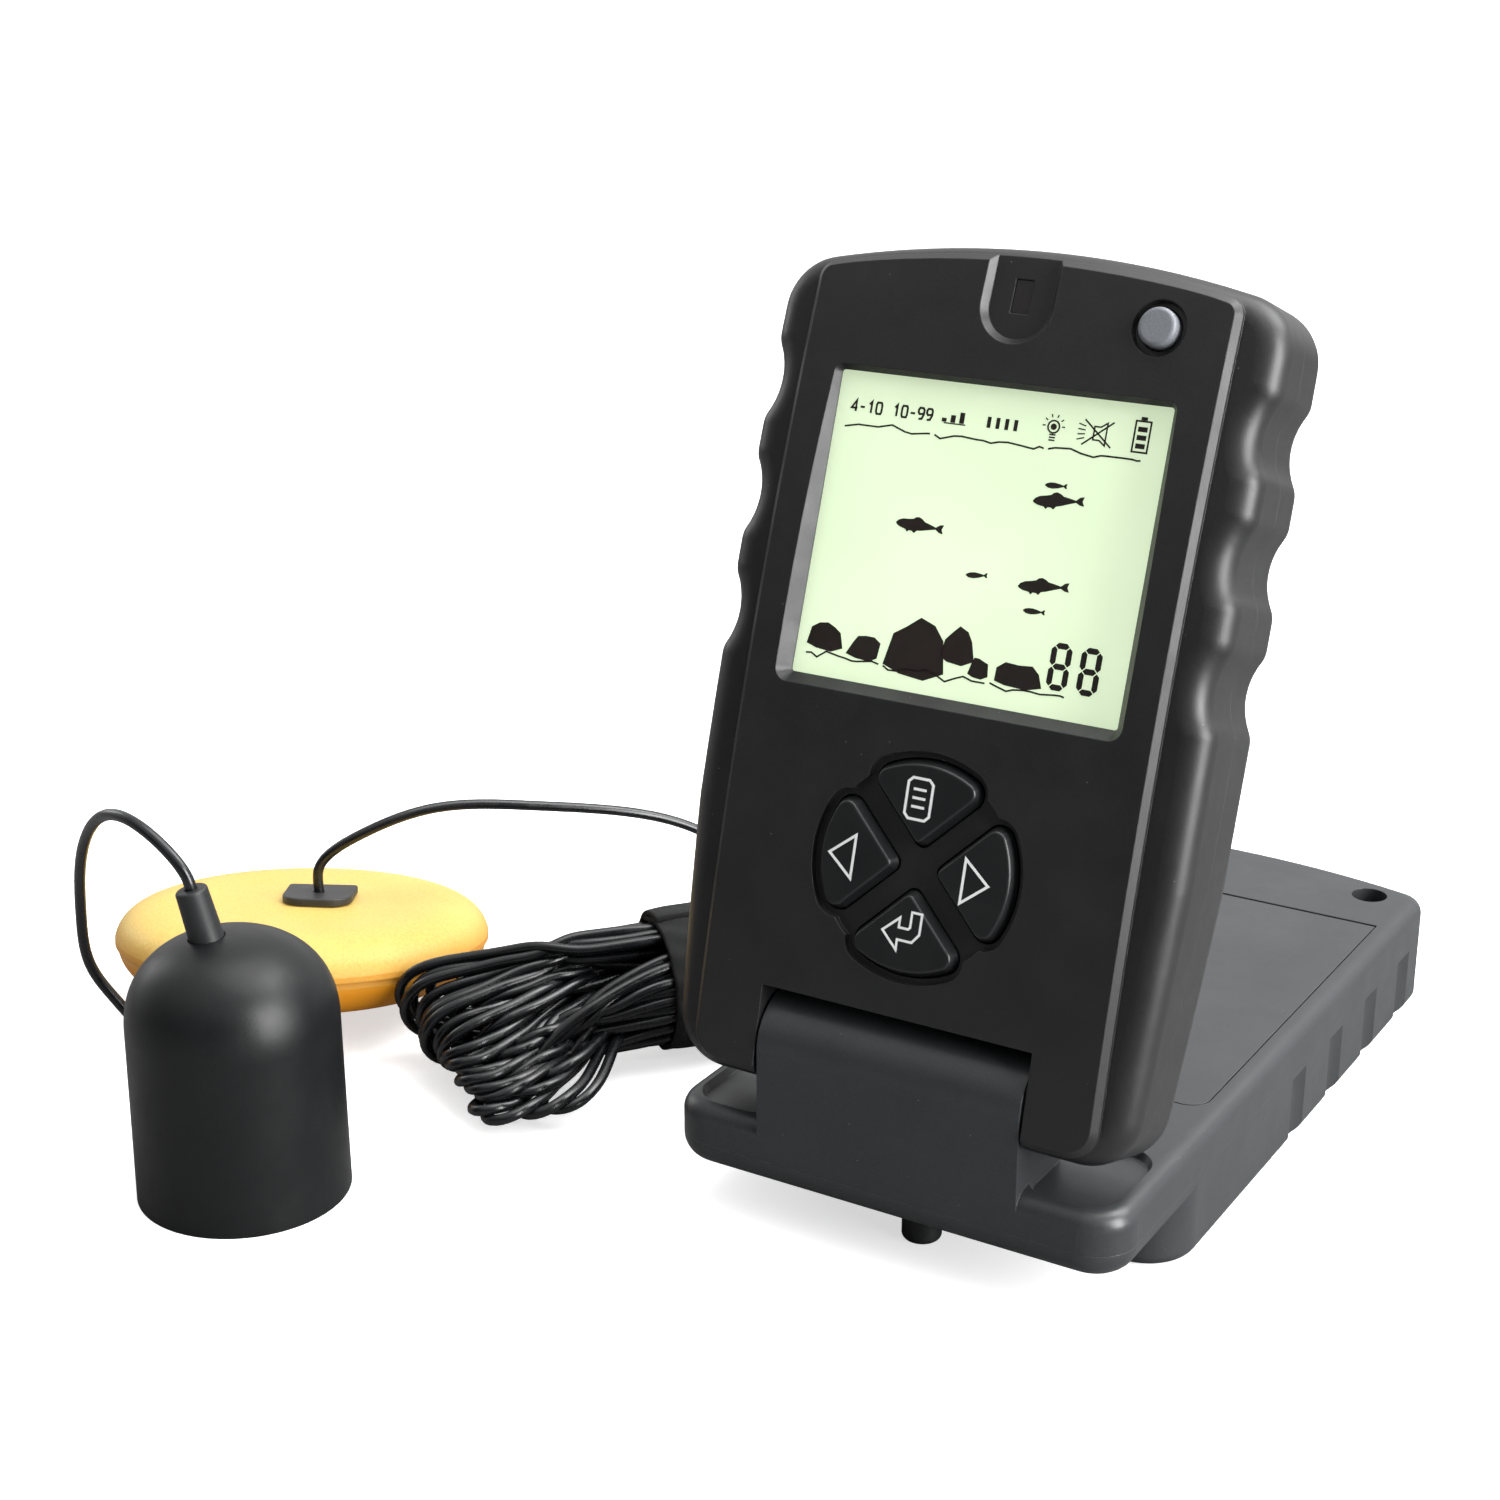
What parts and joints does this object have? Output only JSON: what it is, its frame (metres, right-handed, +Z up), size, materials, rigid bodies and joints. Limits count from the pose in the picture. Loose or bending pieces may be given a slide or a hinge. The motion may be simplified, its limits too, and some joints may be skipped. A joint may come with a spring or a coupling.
{
  "type": "portable fish finder",
  "caption": "Portable fish finder: a display head that folds on a battery base, with a wired sonar transducer, a float with a rubber stopper and a strapped coil of cable.",
  "frame": {"origin": "on the flat underside of the battery base, on its centre line, 87 mm behind the front face", "axes": "+X to the right of a person facing the display, +Y to the rear of the base, +Z up"},
  "size_m": [0.2252, 0.2447, 0.1556],
  "materials": {
    "black_plastic": "fine spark-eroded texture, satin",
    "key_rubber": "soft matt",
    "grey_plastic": "satin",
    "clear_lens": "clear, hard coated",
    "lcd": "pale green reflective display",
    "inner_plastic": "satin",
    "board": "green solder resist",
    "steel": "bright",
    "amber_plastic": "smoked red, translucent",
    "cell_wrap": "printed sleeve, plain",
    "cable_jacket": "smooth PVC, semi-gloss",
    "strap_fabric": "hook-and-loop tape",
    "float_yellow": "glossy, slightly translucent",
    "sonar_plastic": "satin black",
    "rubber_black": "matt",
    "ceramic_disc": "fired ceramic with silvered faces",
    "resin": "cast potting resin"
  },
  "bodies": {
    "base": {"base_top_cover": "black_plastic", "base_bottom_cover": "black_plastic", "front_foot": "rubber_black", "contact_plates": "steel", "contact_springs": "steel", "jack_socket": "inner_plastic", "jack_board": "board", "base_screws": "steel", "battery_cell_1": "cell_wrap", "battery_cell_2": "cell_wrap", "battery_cell_3": "cell_wrap", "battery_cell_4": "cell_wrap", "float_upper": "float_yellow", "float_lower": "float_yellow", "cable_arc": "cable_jacket", "cable_coil": "cable_jacket", "coil_strap": "strap_fabric", "cable_loop_lower": "cable_jacket"},
    "head": {"head_front_cover": "black_plastic", "head_rear_cover": "black_plastic", "window_lens": "clear_lens", "lcd_glass": "lcd", "lcd_frame": "inner_plastic", "backlight_panel": "inner_plastic", "main_board": "board", "tact_switches": "inner_plastic", "buzzer": "inner_plastic", "alarm_lamp": "amber_plastic", "lamp_window": "amber_plastic", "head_screws": "steel", "hinge_pin": "steel", "hinge_washers": "inner_plastic"},
    "menu_key": {"key_menu": "key_rubber"},
    "left_key": {"key_left": "key_rubber"},
    "right_key": {"key_right": "key_rubber"},
    "enter_key": {"key_enter": "key_rubber"},
    "reset": {"reset_button": "grey_plastic"},
    "door": {"battery_door": "black_plastic"},
    "plug": {"plug": "inner_plastic", "cable_lead": "cable_jacket"},
    "stopper": {"float_stopper": "rubber_black"},
    "transducer": {"transducer_housing": "sonar_plastic", "transducer_boot": "sonar_plastic", "transducer_face": "sonar_plastic", "piezo_disc": "ceramic_disc", "potting_plug": "resin", "cable_loop_upper": "cable_jacket"}
  },
  "joints": [
    {"name": "head_fold", "type": "hinge", "parent": "base", "child": "head", "pos_m": [0, -0.079, 0.0334], "axis": [1, 0, 0], "range_deg": [-71.2, 18.8]},
    {"name": "menu_press", "type": "slide", "parent": "head", "child": "menu_key", "axis": [0, 0.962, -0.2732], "range_m": [0, 0.0008], "stiffness_N_per_m": 900},
    {"name": "left_press", "type": "slide", "parent": "head", "child": "left_key", "axis": [0, 0.962, -0.2732], "range_m": [0, 0.0008], "stiffness_N_per_m": 900},
    {"name": "right_press", "type": "slide", "parent": "head", "child": "right_key", "axis": [0, 0.962, -0.2732], "range_m": [0, 0.0008], "stiffness_N_per_m": 900},
    {"name": "enter_press", "type": "slide", "parent": "head", "child": "enter_key", "axis": [0, 0.962, -0.2732], "range_m": [0, 0.0008], "stiffness_N_per_m": 900},
    {"name": "reset_press", "type": "slide", "parent": "head", "child": "reset", "axis": [0, 0.9184, -0.3958], "range_m": [0, 0.0007], "stiffness_N_per_m": 900},
    {"name": "door_swing", "type": "hinge", "parent": "base", "child": "door", "pos_m": [0, 0.04, 0.02], "axis": [-1, 0, 0], "range_deg": [0, 90]},
    {"name": "plug_pull", "type": "slide", "parent": "base", "child": "plug", "axis": [0, 1, 0], "range_m": [0, 0.014]},
    {"name": "stopper_pull", "type": "slide", "parent": "base", "child": "stopper", "axis": [-0.0612, 0.1461, 0.9874], "range_m": [0, 0.004]},
    {"name": "transducer_lift", "type": "slide", "parent": "base", "child": "transducer", "axis": [0, 0, 1], "range_m": [0, 0.03]}
  ]
}
